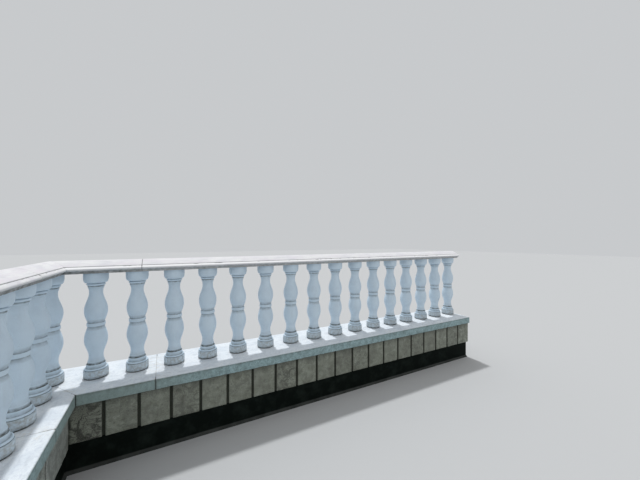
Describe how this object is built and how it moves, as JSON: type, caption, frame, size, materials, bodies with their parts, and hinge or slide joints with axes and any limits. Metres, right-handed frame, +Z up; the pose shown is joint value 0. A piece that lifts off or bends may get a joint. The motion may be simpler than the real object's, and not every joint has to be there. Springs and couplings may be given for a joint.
{
  "type": "stone balustrade",
  "caption": "Corner of a stone balustrade: turned vase balusters under a moulded rail, on coping over a low tiled parapet wall.",
  "frame": {"origin": "on the floor, where the centre lines of the two runs cross, under the corner baluster", "axes": "+X along the long run, +Y away from the terrace, +Z up; the short run leaves the corner along -Y"},
  "size_m": [3.349, 1.444, 1.052],
  "materials": {
    "rail": "matte",
    "baluster": "matte",
    "coping": "matte",
    "tile": "satin",
    "band": "satin",
    "core": "matte"
  },
  "bodies": {
    "root": {"long_wall_core": "core", "short_wall_core": "core", "long_inner_tile_course": "tile", "long_outer_tile_course": "tile", "short_inner_tile_course": "tile", "short_outer_tile_course": "tile", "long_inner_base_band": "band", "long_outer_base_band": "band", "short_inner_base_band": "band", "short_outer_base_band": "band", "long_corner_coping": "coping", "long_coping_1": "coping", "long_coping_2": "coping", "long_coping_3": "coping", "short_corner_coping": "coping", "short_coping_1": "coping", "corner_baluster": "baluster", "long_baluster_1": "baluster", "long_baluster_2": "baluster", "long_baluster_3": "baluster", "long_baluster_4": "baluster", "long_baluster_5": "baluster", "long_baluster_6": "baluster", "long_baluster_7": "baluster", "long_baluster_8": "baluster", "long_baluster_9": "baluster", "long_baluster_10": "baluster", "long_baluster_11": "baluster", "long_baluster_12": "baluster", "long_baluster_13": "baluster", "long_baluster_14": "baluster", "long_baluster_15": "baluster", "long_baluster_16": "baluster", "short_baluster_1": "baluster", "short_baluster_2": "baluster", "short_baluster_3": "baluster", "short_baluster_4": "baluster", "short_baluster_5": "baluster", "short_baluster_6": "baluster", "long_corner_rail": "rail", "long_rail_1": "rail", "long_rail_2": "rail", "long_rail_3": "rail", "short_corner_rail": "rail", "short_rail_1": "rail"}
  },
  "joints": []
}
